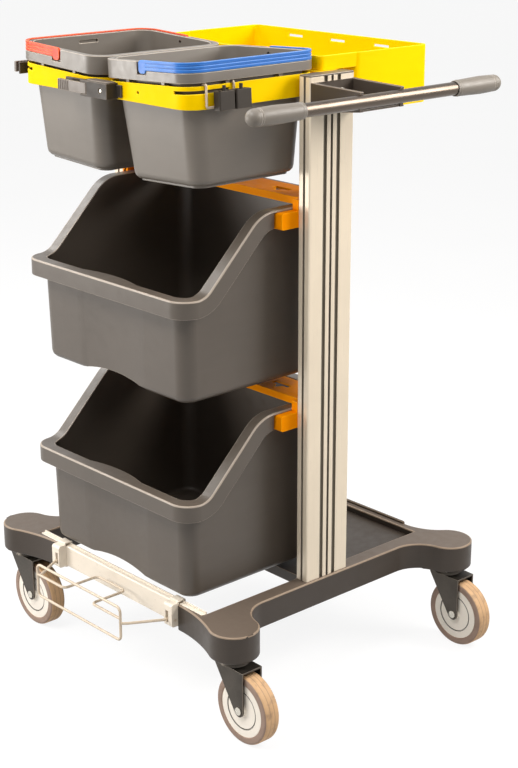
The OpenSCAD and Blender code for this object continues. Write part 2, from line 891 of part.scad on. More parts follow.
// Groove in the rim that the folded swing handle lies in, with room for its legs to turn
module bail_groove() {
    depth = bail_t + bail_clear;
    floor_z = bail_rise - bail_h - bail_clear;
    half = bail_leg_w / 2 - bail_leg_r;
    turn_r = norm([half, bail_pivot_z - bail_leg_low - bail_leg_r]) + bail_leg_r + bail_clear;
    slot_l = bail_rise - bail_pivot_z + 1 + bail_clear;
    translate([0, 0, floor_z]) linear_extrude(bail_h + bail_clear) difference() {
        pail_outline(-1);
        pail_outline(depth);
        translate([-pail_w, -pail_d]) square([pail_w, 2 * pail_d]);
    }
    for (end = [0, 1]) mirror([0, end, 0])
        slab([-slot_l, pail_d / 2 - depth, bail_pivot_z - turn_r], [turn_r, pail_d / 2 + 1, 1]);
}

module pail_shape() {
    slot_l = 40;
    difference() {
        union() {
            intersection() {
                pail_block(0, foot_h - pail_h);
                slab([-pail_w, -pail_d, -pail_h], [pail_w, pail_d, 0]);
            }
            translate([0, 0, -pail_rim_h]) linear_extrude(pail_rim_h) difference() {
                pail_outline(0);
                pail_outline(pail_over + 1);
            }
        }
        pail_block(pail_wall, foot_h + pail_wall - pail_h);
        translate([0, 0, -pail_rim_h - 1]) linear_extrude(9) difference() {
            pail_outline(pail_wall);
            pail_outline(pail_over);
        }
        bail_groove();
        translate([0, 0, bail_pivot_z]) rotate([90, 0, 0])
            cylinder(h = pail_d - 2 * bail_t, r = bail_pin_r + run_clear, center = true);
        translate([pail_w / 2 - pail_over - pail_wall - 6, -slot_l / 2, -14]) cube([8, slot_l, 5]);
    }
    pail_stops();
    translate([0, 0, -pail_h]) linear_extrude(foot_h + 1) difference() {
        pail_slice(pail_foot_w, pail_foot_d, pail_foot_r);
        pail_slice(pail_foot_w, pail_foot_d, pail_foot_r + pail_wall);
    }
}

module bail_shape() {
    low = bail_rise - bail_h;
    groove = 1.5;
    ridge_pitch = bail_h / 3;
    pin_l = 4;
    difference() {
        union() {
            translate([0, 0, low]) linear_extrude(bail_h) difference() {
                pail_outline(0);
                pail_outline(bail_t);
                translate([-pail_w, -pail_d]) square([pail_w, 2 * pail_d]);
            }
            for (end = [0, 1]) mirror([0, end, 0]) {
                translate([0, pail_d / 2 - bail_t - pin_l, bail_pivot_z]) rotate([-90, 0, 0])
                    cylinder(h = pin_l + 1, r = bail_pin_r);
                along(pail_d / 2 - bail_t, pail_d / 2) rounded_at(
                    [-bail_leg_w / 2, bail_leg_low], [bail_leg_w / 2, bail_rise], bail_leg_r);
            }
        }
        for (i = [1, 2])
            translate([0, 0, low + i * ridge_pitch - groove / 2]) linear_extrude(groove) difference() {
                pail_outline(-1);
                pail_outline(1);
                translate([-pail_w, -pail_d]) square([pail_w + bail_leg_w / 2, 2 * pail_d]);
            }
    }
}

// Place a pail or its handle: side -1 is the left one
module pail_at(side) {
    placed() translate([side * pail_x, pail_mid_y, pail_top_z]) rotate([0, -side * pail_lean, 0])
        mirror([side < 0 ? 1 : 0, 0, 0]) children();
}

// Pail holder

module ring_plan(inset) {
    rounded(ring_w - 2 * inset, ring_d - 2 * inset, pail_corner_r - band_in - inset);
}

// One ring, in the frame of the pail it holds
module ring_shape() {
    slot_z = ring_top - 12;
    slot_h = 5;
    hole_r = 2.5;
    difference() {
        translate([0, 0, ring_top - 1.4 * band_h]) linear_extrude(1.4 * band_h) difference() {
            ring_plan(0);
            ring_plan(band_t);
        }
        translate([ring_hole_x, -ring_d / 2, ring_top - 15]) rotate([90, 0, 0])
            cylinder(h = 3 * band_t, r = hole_r, center = true);
        slab([ring_w / 2 - pail_corner_r, -ring_d / 2 - 1, slot_z],
             [ring_w / 2 + 1, -0.2 * ring_d, slot_z + slot_h]);
        slab([-ring_w / 2 + pail_corner_r / 3, -ring_d / 2 - 1, slot_z],
             [-ring_w / 2 + pail_corner_r, -ring_d / 2 + pail_corner_r / 2, slot_z + slot_h]);
    }
}

module pail_holder() {
    web_y = ring_front_y + pail_corner_r + 8;
    web_x = pail_x - ring_w / 2 + band_t;
    skin = 4;
    color(yellow) {
        difference() {
            for (side = [-1, 1]) pail_at(side) ring_shape();
            placed() slab([-2 * pail_w, pail_front_y - 1, beam_low - band_h],
                          [2 * pail_w, ring_back_y + 1, beam_low]);
        }
        placed() {
            slab([-web_x, web_y, beam_low + 4], [web_x, web_y + skin, beam_top - 12]);
            difference() {
                union() {
                    slab([-post_in, ring_back_y - band_t, beam_low], [post_in, post_back, ring_dip_z - 0.5]);
                    slab([-post_in, beam_front_y, beam_low], [post_in, post_back, beam_top]);
                }
                slab([skin - post_in, beam_front_y + skin, beam_low - 1],
                     [post_in - skin, post_back - skin, beam_top - skin]);
            }
        }
    }
}

// Rear tray

module tray_plan(inset) {
    corner = 14;
    rounded_at([inset - tray_w / 2, tray_front + inset],
               [tray_w / 2 - inset, tray_back - inset], corner - inset);
}

module neck_plan(inset) {
    corner = 10;
    rounded_at([inset - neck_w / 2, neck_front + inset],
               [neck_w / 2 - inset, tray_front + 2 * corner], corner - inset);
}

module rear_tray() {
    slot_w = 37;
    slot_h = 4;
    color(yellow) placed() difference() {
        union() {
            translate([0, 0, tray_low]) linear_extrude(tray_h) tray_plan(0);
            translate([0, 0, neck_floor]) linear_extrude(tray_top - neck_floor) neck_plan(0);
        }
        translate([0, 0, tray_low + tray_wall]) linear_extrude(tray_h) tray_plan(tray_wall);
        translate([0, 0, neck_floor + tray_wall]) linear_extrude(tray_h) neck_plan(tray_wall);
        for (i = [-1 : 1]) translate([i * tray_w / 4, tray_back - tray_wall / 2, tray_top - 13])
            cube([slot_w, 2 * tray_wall, slot_h], center = true);
    }
}

// Handle

// Side outline of a bracket wing, measured from the post face
module wing_outline() {
    eye = [handle_x, handle_z];
    eye_r = handle_r + 5;
    top = [post_out, bracket_top];
    foot = [post_out, bracket_low];
    difference() {
        union() {
            polygon([top, foot, touch(eye, eye_r, foot, 1), eye, touch(eye, eye_r, top, -1)]);
            translate(eye) circle(eye_r);
        }
        translate([handle_x + 2, handle_z - 2 * handle_r]) square(4 * handle_r);
    }
}

module handle_bracket() {
    color(dark) placed() difference() {
        union() {
            along(post_front, post_front + bracket_wing) wing_outline();
            along(post_back - bracket_wing, post_back) wing_outline();
            slab([post_out, post_front, bracket_low], [post_out + bracket_plate, post_back, bracket_top]);
            along(post_front, post_back) intersection() {
                wing_outline();
                polygon([[post_out, bracket_low], [handle_x, handle_z - handle_r - 5],
                         [handle_x, handle_z - handle_r - 1], [post_out, bracket_low + bracket_plate]]);
            }
        }
        translate([handle_x, 0, handle_z]) rotate([90, 0, 0])
            cylinder(h = 2 * post_w, r = handle_r + run_clear, center = true);
        for (s = screw_places()) translate([post_out - 1, s.x, s.y]) rotate([0, 90, 0])
            cylinder(h = bracket_plate + 2, r = 3 + run_clear);
    }
}

function screw_places() = [for (s = [-1, 1]) [post_y + s * 15, bracket_top - 18]];

module bracket_screws() {
    color(zinc) placed() for (s = screw_places()) translate([post_out + 0.5, s.x, s.y]) rotate([0, 90, 0]) {
        cylinder(h = bracket_plate, r = 3);
        translate([0, 0, bracket_plate - 0.5]) difference() {
            cylinder(h = 4, r = 5.5);
            translate([0, 0, 2]) cylinder(h = 3, r = 3, $fn = 6);
        }
    }
}

module handle_tube() {
    tube_l = handle_l - 12;
    color(dark) placed() translate([handle_x, post_y, handle_z]) rotate([90, 0, 0])
        difference() {
            cylinder(h = tube_l, r = handle_r, center = true);
            cylinder(h = tube_l + 2, r = handle_r - 1.5, center = true);
        }
}

// Hand grip, from its inner end at zero to its domed end
module grip_shape() {
    bore = handle_r + run_clear;
    collar = 8;
    dome = grip_d / 2 - 1;
    body = grip_l - collar - dome;
    difference() {
        union() {
            cylinder(h = collar, r1 = handle_r + 2, r2 = handle_r + 3);
            translate([0, 0, collar]) cylinder(h = body * 0.6, r1 = handle_r + 2.5, r2 = grip_d / 2);
            translate([0, 0, collar + body * 0.6]) cylinder(h = body * 0.4, r1 = grip_d / 2, r2 = dome);
            translate([0, 0, collar + body]) sphere(dome);
        }
        translate([0, 0, -1]) cylinder(h = grip_l - 6 + 1, r = bore);
    }
}

module grip(end) {
    color(dark) placed() translate([handle_x, post_y + end * (handle_l / 2 - grip_l), handle_z])
        rotate([-end * 90, 0, 0]) grip_shape();
}

// Broom clips, modelled with the mounting face at y = 0, reaching to -y, the lever running to -x

module broom_body() {
    plate = 4;
    color(dark) difference() {
        union() {
            slab([-clip_block, -clip_reach, 0], [0, 0, clip_h]);
            slab([-clip_l, -plate, lever_low - 1], [clip_tail, 0, lever_low + lever_h + 1]);
        }
        translate([lever_x, lever_y, -1]) cylinder(h = clip_h + 2, r = lever_pin_r + run_clear);
        slab([-clip_block - 1, -clip_reach - 1, lever_low - swivel_clear],
             [lever_x + lever_eye_r + swivel_clear, -plate - 2, lever_low + lever_h + swivel_clear]);
        translate([-clip_block / 4, -clip_reach - 1, clip_h / 2]) rotate([-90, 0, 0]) cylinder(h = 4, r = 4);
    }
}

module broom_lever() {
    arm_t = 4;
    rib_r = 2;
    rib_gap = 7;
    rib_count = 5;
    arm_l = clip_l - clip_block + 8;
    color(dark) translate([lever_x, lever_y, 0]) {
        cylinder(h = clip_h, r = lever_pin_r);
        translate([0, 0, lever_low]) {
            cylinder(h = lever_h, r = lever_eye_r);
            slab([-arm_l, -lever_eye_r, 0], [0, arm_t - lever_eye_r, lever_h]);
            for (i = [0 : rib_count - 1])
                translate([-arm_l + rib_r + i * rib_gap, arm_t - lever_eye_r, 0])
                    cylinder(h = lever_h, r = rib_r);
        }
    }
}

module clip_front_at() {
    placed() translate([clip_x, ring_front_y, beam_low + 1]) children();
}

module clip_side_at() {
    pail_at(-1) translate([ring_w / 2, -1, ring_top - band_h + 10]) rotate(90) children();
}

// Wire hook and tool clips on the right ring, in the frame of its pail

module wire_hook() {
    out = ring_w / 2 + hook_d / 2 + 0.3;
    inside = ring_w / 2 - band_t - hook_d / 2 - 0.3;
    top = ring_top + hook_d / 2 + 0.3;
    low = ring_top - band_h + 2;
    path = [[inside, hook_y0, top - 9], [inside, hook_y0, top], [out, hook_y0, top], [out, hook_y0, low],
            [out, hook_y1, low], [out, hook_y1, top], [inside, hook_y1, top], [inside, hook_y1, top - 9]];
    color(cream) pail_at(1) wire(bent_path(path, 2.6, 3), hook_d, [0, 1, 0]);
}

module tool_clips() {
    out = ring_w / 2 + hook_d + 0.3;
    depth = 16;
    tall = 30;
    wall = 2.5;
    box_w = 32;
    box_gap = 3;
    first_y = hook_y0 + 12;
    color(dark) pail_at(1) for (i = [0, 1])
        translate([out, first_y + i * (box_w + box_gap), ring_top - band_h - 3]) {
            difference() {
                cube([depth, box_w, tall]);
                translate([wall, wall, wall]) cube([depth - 2 * wall, box_w - 2 * wall, tall]);
            }
            translate([depth / 2, box_w / 2, 0]) cylinder(h = tall + 8, r = 3);
        }
}

// Parts

base_frame();
rear_deck();
cross_bar();
wire_clamps();
wire_rack();
swivel_races();
caster_at(-1, -1) fork();  // fork_front_left
caster_at(1, -1) fork();  // fork_front_right
caster_at(-1, 1) fork();  // fork_rear_left
caster_at(1, 1) fork();  // fork_rear_right
caster_at(-1, -1) axle();  // axle_front_left
caster_at(1, -1) axle();  // axle_front_right
caster_at(-1, 1) axle();  // axle_rear_left
caster_at(1, 1) axle();  // axle_rear_right
caster_at(-1, -1) hub();  // hub_front_left
caster_at(1, -1) hub();  // hub_front_right
caster_at(-1, 1) hub();  // hub_rear_left
caster_at(1, 1) hub();  // hub_rear_right
caster_at(-1, -1) tyre();  // tyre_front_left
caster_at(1, -1) tyre();  // tyre_front_right
caster_at(-1, 1) tyre();  // tyre_rear_left
caster_at(1, 1) tyre();  // tyre_rear_right
post(-1);  // post_left
post(1);  // post_right
post_cap(-1);  // post_cap_left
post_cap(1);  // post_cap_right
carrier(0);  // carrier_lower
carrier(1);  // carrier_upper
bin_at(0);  // bin_lower
bin_at(1);  // bin_upper
pail_holder();
color(grey) pail_at(-1) pail_shape();  // pail_left
color(grey) pail_at(1) pail_shape();  // pail_right
color("tomato") pail_at(-1) bail_shape();  // bail_left
color("steelblue") pail_at(1) bail_shape();  // bail_right
rear_tray();
handle_bracket();
bracket_screws();
handle_tube();
grip(-1);  // grip_front
grip(1);  // grip_rear
clip_front_at() broom_body();  // broom_clip_front
clip_front_at() broom_lever();  // broom_lever_front
clip_side_at() broom_body();  // broom_clip_side
clip_side_at() broom_lever();  // broom_lever_side
wire_hook();
tool_clips();
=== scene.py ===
import json
import math

import bmesh
import bpy
from mathutils import Matrix, Vector

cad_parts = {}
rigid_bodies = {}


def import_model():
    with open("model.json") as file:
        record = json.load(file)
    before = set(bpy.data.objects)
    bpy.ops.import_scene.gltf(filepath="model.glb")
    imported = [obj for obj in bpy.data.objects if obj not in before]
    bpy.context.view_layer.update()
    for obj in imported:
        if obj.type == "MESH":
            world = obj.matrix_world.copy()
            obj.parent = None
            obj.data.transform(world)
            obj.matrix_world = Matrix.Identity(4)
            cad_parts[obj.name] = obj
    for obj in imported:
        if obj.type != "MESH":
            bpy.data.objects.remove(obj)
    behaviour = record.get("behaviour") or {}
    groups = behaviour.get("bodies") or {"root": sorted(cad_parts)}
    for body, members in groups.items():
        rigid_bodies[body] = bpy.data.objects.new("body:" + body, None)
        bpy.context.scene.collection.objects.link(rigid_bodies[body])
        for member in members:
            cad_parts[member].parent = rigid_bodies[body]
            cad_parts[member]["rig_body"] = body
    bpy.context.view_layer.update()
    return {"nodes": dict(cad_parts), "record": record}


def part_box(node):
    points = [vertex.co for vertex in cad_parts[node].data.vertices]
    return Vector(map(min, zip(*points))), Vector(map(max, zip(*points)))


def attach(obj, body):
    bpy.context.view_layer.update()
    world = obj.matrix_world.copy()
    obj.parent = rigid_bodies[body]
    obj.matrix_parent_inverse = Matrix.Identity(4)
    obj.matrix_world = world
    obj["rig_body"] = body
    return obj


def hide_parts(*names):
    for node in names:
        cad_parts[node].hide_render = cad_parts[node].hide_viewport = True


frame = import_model()
nodes = frame["nodes"]
bpy.ops.object.select_all(action="DESELECT")

CORNERS = ("front_left", "front_right", "rear_left", "rear_right")
SLOT_OF = {part["node"]: part["material_slot"] for part in frame["record"]["subparts"]}


# Finishes

def start_finish(name):
    finish = bpy.data.materials.new(name)
    finish.use_nodes = True
    tree = finish.node_tree
    tree.nodes.clear()
    out = tree.nodes.new("ShaderNodeOutputMaterial")
    skin = tree.nodes.new("ShaderNodeBsdfPrincipled")
    tree.links.new(skin.outputs["BSDF"], out.inputs["Surface"])
    return finish, tree, skin


def object_place(tree, stretch=(1, 1, 1)):
    place = tree.nodes.new("ShaderNodeTexCoord").outputs["Object"]
    if stretch == (1, 1, 1):
        return place
    mapping = tree.nodes.new("ShaderNodeMapping")
    mapping.inputs["Scale"].default_value = stretch
    tree.links.new(place, mapping.inputs["Vector"])
    return mapping.outputs["Vector"]


def noise(tree, place, scale, detail=3.0, rough=0.55):
    node = tree.nodes.new("ShaderNodeTexNoise")
    node.inputs["Scale"].default_value = scale
    node.inputs["Detail"].default_value = detail
    node.inputs["Roughness"].default_value = rough
    tree.links.new(place, node.inputs["Vector"])
    return node.outputs["Fac"]


def spread(tree, value, low, high, start=0.3, end=0.7):
    """Stretches a value from the range start to end over the range low to high."""
    node = tree.nodes.new("ShaderNodeMapRange")
    node.inputs["From Min"].default_value = start
    node.inputs["From Max"].default_value = end
    node.inputs["To Min"].default_value = low
    node.inputs["To Max"].default_value = high
    tree.links.new(value, node.inputs["Value"])
    return node.outputs["Result"]


def ramp(tree, value, stops):
    node = tree.nodes.new("ShaderNodeValToRGB")
    band = node.color_ramp
    while len(band.elements) < len(stops):
        band.elements.new(0.5)
    for element, (at, colour) in zip(band.elements, stops):
        element.position = at
        element.color = (*colour, 1)
    tree.links.new(value, node.inputs["Fac"])
    return node.outputs["Color"]


def mix(tree, share, first, second):
    node = tree.nodes.new("ShaderNodeMix")
    node.data_type = "RGBA"
    for socket, value in ((node.inputs[0], share), (node.inputs[6], first), (node.inputs[7], second)):
        if isinstance(value, bpy.types.NodeSocket):
            tree.links.new(value, socket)
        else:
            socket.default_value = (*value, 1)
    return node.outputs[2]


def bump(tree, skin, height, strength, distance):
    node = tree.nodes.new("ShaderNodeBump")
    node.inputs["Strength"].default_value = strength
    node.inputs["Distance"].default_value = distance
    tree.links.new(height, node.inputs["Height"])
    tree.links.new(node.outputs["Normal"], skin.inputs["Normal"])


def attribute(tree, name):
    node = tree.nodes.new("ShaderNodeAttribute")
    node.attribute_name = name
    return node.outputs["Fac"]


def shade(colour, times):
    return tuple(min(1.0, c * times) for c in colour)


def plain(hex_colour):
    """A screen colour as the shader's linear one."""
    parts = [int(hex_colour[i:i + 2], 16) / 255 for i in (0, 2, 4)]
    return tuple(c / 12.92 if c <= 0.04045 else ((c + 0.055) / 1.055) ** 2.4 for c in parts)


def tint_marked_faces(tree, tone, name, colour, share):
    """Mixes a colour into the faces that the named attribute marks."""
    return mix(tree, spread(tree, attribute(tree, name), 0.0, share, 0.0, 1.0), tone, colour)


def moulded_plastic(name, colour, edge_highlight_and_rub, rough=0.42, grain=0.12, sheen=0.5, tint=(1, 1, 1), edge_highlight_and_rub_share=0.55):
    """Plastic with cloudy flow marks, painted top light on faces that look up, and a painted edge highlight,
    partly rubbed wear.
    """
    finish, tree, skin = start_finish(name)
    skin.inputs["Specular IOR Level"].default_value = sheen
    skin.inputs["Specular Tint"].default_value = (*tint, 1)
    place = object_place(tree)
    cloud = noise(tree, place, 7.0)
    flow = noise(tree, object_place(tree, (3, 3, 14)), 5.0, 4.0)
    tone = ramp(tree, cloud, ((0.3, shade(colour, 0.93)), (0.7, shade(colour, 1.06))))
    tone = mix(tree, spread(tree, flow, 0.0, 0.35), tone, shade(colour, 1.12))
    # painted light: faces that look up are painted much lighter
    tone = tint_marked_faces(tree, tone, "painted_top_light", shade(colour, 2.6), 0.95)
    # painted highlight, partly rubbed wear, on the narrow faces that round the edges
    tone = tint_marked_faces(tree, tone, "edge", edge_highlight_and_rub, edge_highlight_and_rub_share)
    tree.links.new(tone, skin.inputs["Base Color"])
    gloss = spread(tree, noise(tree, place, 60.0), rough - 0.05, rough + 0.07)
    tree.links.new(gloss, skin.inputs["Roughness"])
    bump(tree, skin, noise(tree, place, 900.0, 2.0), grain, 0.0004)
    return finish


def painted_steel(name, colour, rough=0.32):
    """Paint with faint clouds and specks, and painted shade in its grooves."""
    finish, tree, skin = start_finish(name)
    place = object_place(tree)
    cloud = noise(tree, place, 14.0)
    specks = spread(tree, noise(tree, place, 45.0, 5.0), 0.0, 0.14, 0.56, 0.72)
    tone = ramp(tree, cloud, ((0.3, shade(colour, 0.94)), (0.7, shade(colour, 1.03))))
    tone = mix(tree, specks, tone, shade(colour, 0.72))
    # painted shade in the grooves
    tone = tint_marked_faces(tree, tone, "groove", shade(colour, 0.12), 0.85)
    tree.links.new(tone, skin.inputs["Base Color"])
    gloss = spread(tree, noise(tree, place, 90.0), rough - 0.06, rough + 0.08)
    tree.links.new(gloss, skin.inputs["Roughness"])
    bump(tree, skin, noise(tree, place, 350.0, 2.0), 0.1, 0.0004)
    return finish


def bare_metal(name, colour, rough, draw=(1, 1, 1), metal=1.0, tarnish=0.75, edge_highlight_gain=1.25):
    """Metal with fine lines along its draw, a cloudy tarnish, a painted highlight on its edges and painted shade
    with some dirt in its grooves.
    """
    finish, tree, skin = start_finish(name)
    lines = noise(tree, object_place(tree, draw), 260.0, 3.0)
    cloud = noise(tree, object_place(tree), 16.0, 4.0)
    tone = ramp(tree, cloud, ((0.3, shade(colour, tarnish)), (0.62, colour)))
    tone = mix(tree, spread(tree, lines, 0.0, 0.3), tone, shade(colour, 0.86))
    # painted highlight along the rounded edges
    tone = tint_marked_faces(tree, tone, "edge", shade(colour, edge_highlight_gain), 0.8)
    # painted shade with some dirt in the grooves
    tone = tint_marked_faces(tree, tone, "groove", shade(colour, 0.2), 0.85)
    tree.links.new(tone, skin.inputs["Base Color"])
    tree.links.new(spread(tree, lines, rough - 0.07, rough + 0.09), skin.inputs["Roughness"])
    skin.inputs["Metallic"].default_value = metal
    bump(tree, skin, lines, 0.08, 0.0003)
    return finish


def tread(name, wall, running, dirt):
    """Tyre rubber: a pale running band between two darker side walls."""
    finish, tree, skin = start_finish(name)
    place = object_place(tree)
    cloud = noise(tree, place, 30.0, 5.0)
    stains = spread(tree, noise(tree, place, 75.0, 6.0), 0.0, 0.6, 0.5, 0.75)
    tone = ramp(tree, cloud, ((0.3, shade(wall, 0.86)), (0.7, shade(wall, 1.06))))
    band = ramp(tree, cloud, ((0.3, shade(running, 0.88)), (0.7, shade(running, 1.05))))
    tone = mix(tree, attribute(tree, "running"), tone, band)
    tone = tint_marked_faces(tree, tone, "groove", dirt, 0.4)
    tone = mix(tree, stains, tone, dirt)
    tree.links.new(tone, skin.inputs["Base Color"])
    tree.links.new(spread(tree, noise(tree, place, 120.0), 0.55, 0.75), skin.inputs["Roughness"])
    bump(tree, skin, noise(tree, place, 500.0, 3.0), 0.2, 0.0005)
    return finish


YELLOW = plain("eec400")
ORANGE = plain("f59000")
# Each moulding's second colour, here and below, is its painted edge highlight, partly rubbed wear.
FINISHES = {
    "grey_plastic": moulded_plastic("grey_moulding", plain("534b43"), plain("b3a596"), rough=0.37, edge_highlight_and_rub_share=0.65),
    "dark_plastic": moulded_plastic("dark_moulding", plain("332d27"), plain("6b6055"), rough=0.5, sheen=0.25),
    "yellow_plastic": moulded_plastic("yellow_moulding", YELLOW, plain("ffdc30"), rough=0.5, grain=0.06,
                                      sheen=0.07, tint=YELLOW),
    "orange_plastic": moulded_plastic("orange_moulding", ORANGE, plain("ffac18"), rough=0.5, grain=0.06,
                                      sheen=0.07, tint=ORANGE),
    "red_plastic": moulded_plastic("red_strap", plain("d8380f"), plain("f08a4a"), rough=0.34, grain=0.05,
                                   sheen=0.25),
    "blue_plastic": moulded_plastic("blue_strap", plain("2a68b8"), plain("6fa5e6"), rough=0.34, grain=0.05,
                                    sheen=0.25),
    "cream_metal": painted_steel("cream_paint", plain("e4d9c9")),
    "post_metal": bare_metal("anodised_post", plain("e5d7c1"), rough=0.34, draw=(4, 4, 0.03), metal=0.2,
                             tarnish=0.95, edge_highlight_gain=1.0),
    "steel": bare_metal("zinc_steel", plain("504a43"), rough=0.4, metal=0.8, tarnish=0.5, edge_highlight_gain=3.4),
    "tube_metal": bare_metal("tube_lacquer", plain("665c53"), rough=0.3, draw=(1, 0.05, 1), tarnish=0.9),
    "grip_rubber": moulded_plastic("grip_rubber", plain("6f685f"), plain("a49c93"), rough=0.44, grain=0.3),
    "hub_plastic": painted_steel("hub_nylon", plain("ece4d8"), rough=0.4),
    "tread_rubber": tread("tyre_rubber", wall=plain("917a6c"), running=plain("cda67c"), dirt=plain("7d6552")),
}
# A darker copy of the grey moulding: painted shade on the low base and deck.
SHADED_BASE_GREY = moulded_plastic("base_moulding", plain("3d352e"), plain("a18c77"), sheen=0.35, edge_highlight_and_rub_share=0.7)
PAIL_GREY = moulded_plastic("pail_moulding", plain("69625a"), plain("b9ac9d"), rough=0.37, edge_highlight_and_rub_share=0.65)
BRACKET_GREY = moulded_plastic("bracket_moulding", plain("443b33"), plain("9c8a79"), sheen=0.4)
LEVER_GREY = moulded_plastic("lever_moulding", plain("5f554c"), plain("b5a697"), rough=0.4, sheen=0.4)
BRIGHT_ZINC = bare_metal("bright_zinc", plain("d3cec2"), rough=0.24, metal=0.5, tarnish=0.8)
WIRE_CREAM = painted_steel("wire_paint", plain("cdbca6"), rough=0.36)


def dress(piece, slot, finish=None):
    piece.data.materials.clear()
    piece.data.materials.append(finish or FINISHES[slot])


for node_name, node in nodes.items():
    dress(node, SLOT_OF[node_name])


# Working on a piece

MERGE_WITHIN = 2e-6
FLAT_WITHIN = math.radians(0.4)
SMOOTH_UNDER = math.radians(40)
NARROW = 1.3


def only(piece):
    bpy.ops.object.select_all(action="DESELECT")
    piece.select_set(True)
    bpy.context.view_layer.objects.active = piece


def corners_of(node_name):
    """The low and the high corner of a CAD node's box."""
    low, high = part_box(node_name)
    return Vector(low), Vector(high)


def middle_of(node_name):
    low, high = corners_of(node_name)
    return (low + high) / 2


def copied(node_name, name, join=True):
    """A merged copy of a CAD node's mesh, with its flat faces joined up unless they have holes."""
    piece = bpy.data.objects.new(name, nodes[node_name].data.copy())
    bpy.context.scene.collection.objects.link(piece)
    only(piece)
    bpy.ops.mesh.customdata_custom_splitnormals_clear()
    bpy.ops.object.mode_set(mode="EDIT")
    bpy.ops.mesh.select_all(action="SELECT")
    bpy.ops.mesh.remove_doubles(threshold=MERGE_WITHIN)
    if join:
        bpy.ops.mesh.dissolve_limited(angle_limit=FLAT_WITHIN)
    bpy.ops.object.mode_set(mode="OBJECT")
    return piece


def choose(piece, kind, accepts):
    """Goes into edit mode with the points, edges or faces selected that accepts takes."""
    only(piece)
    bpy.ops.object.mode_set(mode="EDIT")
    bpy.ops.mesh.select_mode(type=kind)
    bpy.ops.mesh.select_all(action="DESELECT")
    form = bmesh.from_edit_mesh(piece.data)
    for item in {"VERT": form.verts, "EDGE": form.edges, "FACE": form.faces}[kind]:
        item.select_set(bool(accepts(item)))
    bmesh.update_edit_mesh(piece.data)


def face_mark(piece, name):
    """The piece's face attribute of that name, new where there is none."""
    return piece.data.attributes.get(name) or piece.data.attributes.new(name, "FLOAT", "FACE")


def mark_faces(piece, name, accepts):
    """Writes a face attribute for the finish: one where accepts takes the face."""
    mark = face_mark(piece, name)
    for face in piece.data.polygons:
        mark.data[face.index].value = 1.0 if accepts(face) else 0.0


def round_edges(piece, width, steps=2, turn=32, where=None, marks_edge_highlight_and_rub=True):
    """Rounds the outward edges sharper than turn degrees, or those of them that where accepts."""
    def sharp(edge):
        outward = edge.is_manifold and edge.is_convex and edge.calc_face_angle() > math.radians(turn)
        return outward and (where is None or where(edge))

    choose(piece, "EDGE", sharp)
    bpy.ops.mesh.bevel(offset=width, segments=steps, profile=0.5, affect="EDGES", clamp_overlap=False,
                       loop_slide=False)
    bpy.ops.object.mode_set(mode="OBJECT")
    # the narrow rounding faces are marked for a painted edge highlight, partly rubbed wear
    mark = face_mark(piece, "edge")
    points = piece.data.vertices
    for face in piece.data.polygons:
        longest = max((points[a].co - points[b].co).length for a, b in face.edge_keys)
        if marks_edge_highlight_and_rub and face.select and face.area < NARROW * width * longest:
            mark.data[face.index].value = 1.0


def cut_round(piece, at, along):
    """Cuts a piece through by a plane across the given direction."""
    only(piece)
    bpy.ops.object.mode_set(mode="EDIT")
    bpy.ops.mesh.select_all(action="SELECT")
    bpy.ops.mesh.bisect(plane_co=at, plane_no=along)
    bpy.ops.object.mode_set(mode="OBJECT")


def ends_above(edge, height):
    return min(end.co.z for end in edge.verts) > height


def ends_below(edge, height):
    return max(end.co.z for end in edge.verts) < height


def longer_than(length):
    return lambda edge: edge.calc_length() > length


def taller_than(height):
    return lambda edge: abs(edge.verts[0].co.z - edge.verts[1].co.z) > height


def upright_outside(face, middle):
    """Whether an upright face looks away from the middle of its piece."""
    away = face.calc_center_median() - middle
    return abs(face.normal.z) < 0.3 and away.x * face.normal.x + away.y * face.normal.y > 0


def rim_edge(edge, middle, outside):
    """Whether an edge runs between a face that looks up and an upright one, outside or inside the piece."""
    upper, lower = sorted(edge.link_faces, key=lambda face: -face.normal.z)
    if upper.normal.z < 0.5 or abs(lower.normal.z) > 0.3:
        return False
    return upright_outside(lower, middle) == outside


def finish_piece(piece, node_name, finish=None):
    """Smooths and dresses a piece that takes the place of a CAD node."""
    only(piece)
    bpy.ops.object.shade_smooth_by_angle(angle=SMOOTH_UNDER)
    bpy.ops.object.modifier_add(type="WEIGHTED_NORMAL")
    piece.modifiers[-1].keep_sharp = True
    bpy.ops.object.modifier_apply(modifier=piece.modifiers[-1].name)
    dress(piece, SLOT_OF[node_name], finish)
    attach(piece, nodes[node_name]["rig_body"])
    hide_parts(node_name)
    piece.select_set(False)


def add_piece(piece, body, finish, slot):
    """Dresses a piece that the scene adds and hangs it on a body."""
    only(piece)
    bpy.ops.object.shade_smooth_by_angle(angle=SMOOTH_UNDER)
    dress(piece, slot, finish)
    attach(piece, body)
    piece.select_set(False)


def softened(node_name, width, steps=2, turn=32, finish=None, join=True):
    """A CAD node with all its sharp outward edges rounded."""
    piece = copied(node_name, node_name + "_moulded", join)
    round_edges(piece, width, steps, turn)
    finish_piece(piece, node_name, finish)


def smoothed(node_name, finish=None):
    """A round wire or turned piece, shaded smooth."""
    finish_piece(copied(node_name, node_name + "_smooth", join=False), node_name, finish)


# Base, bins, pails and posts

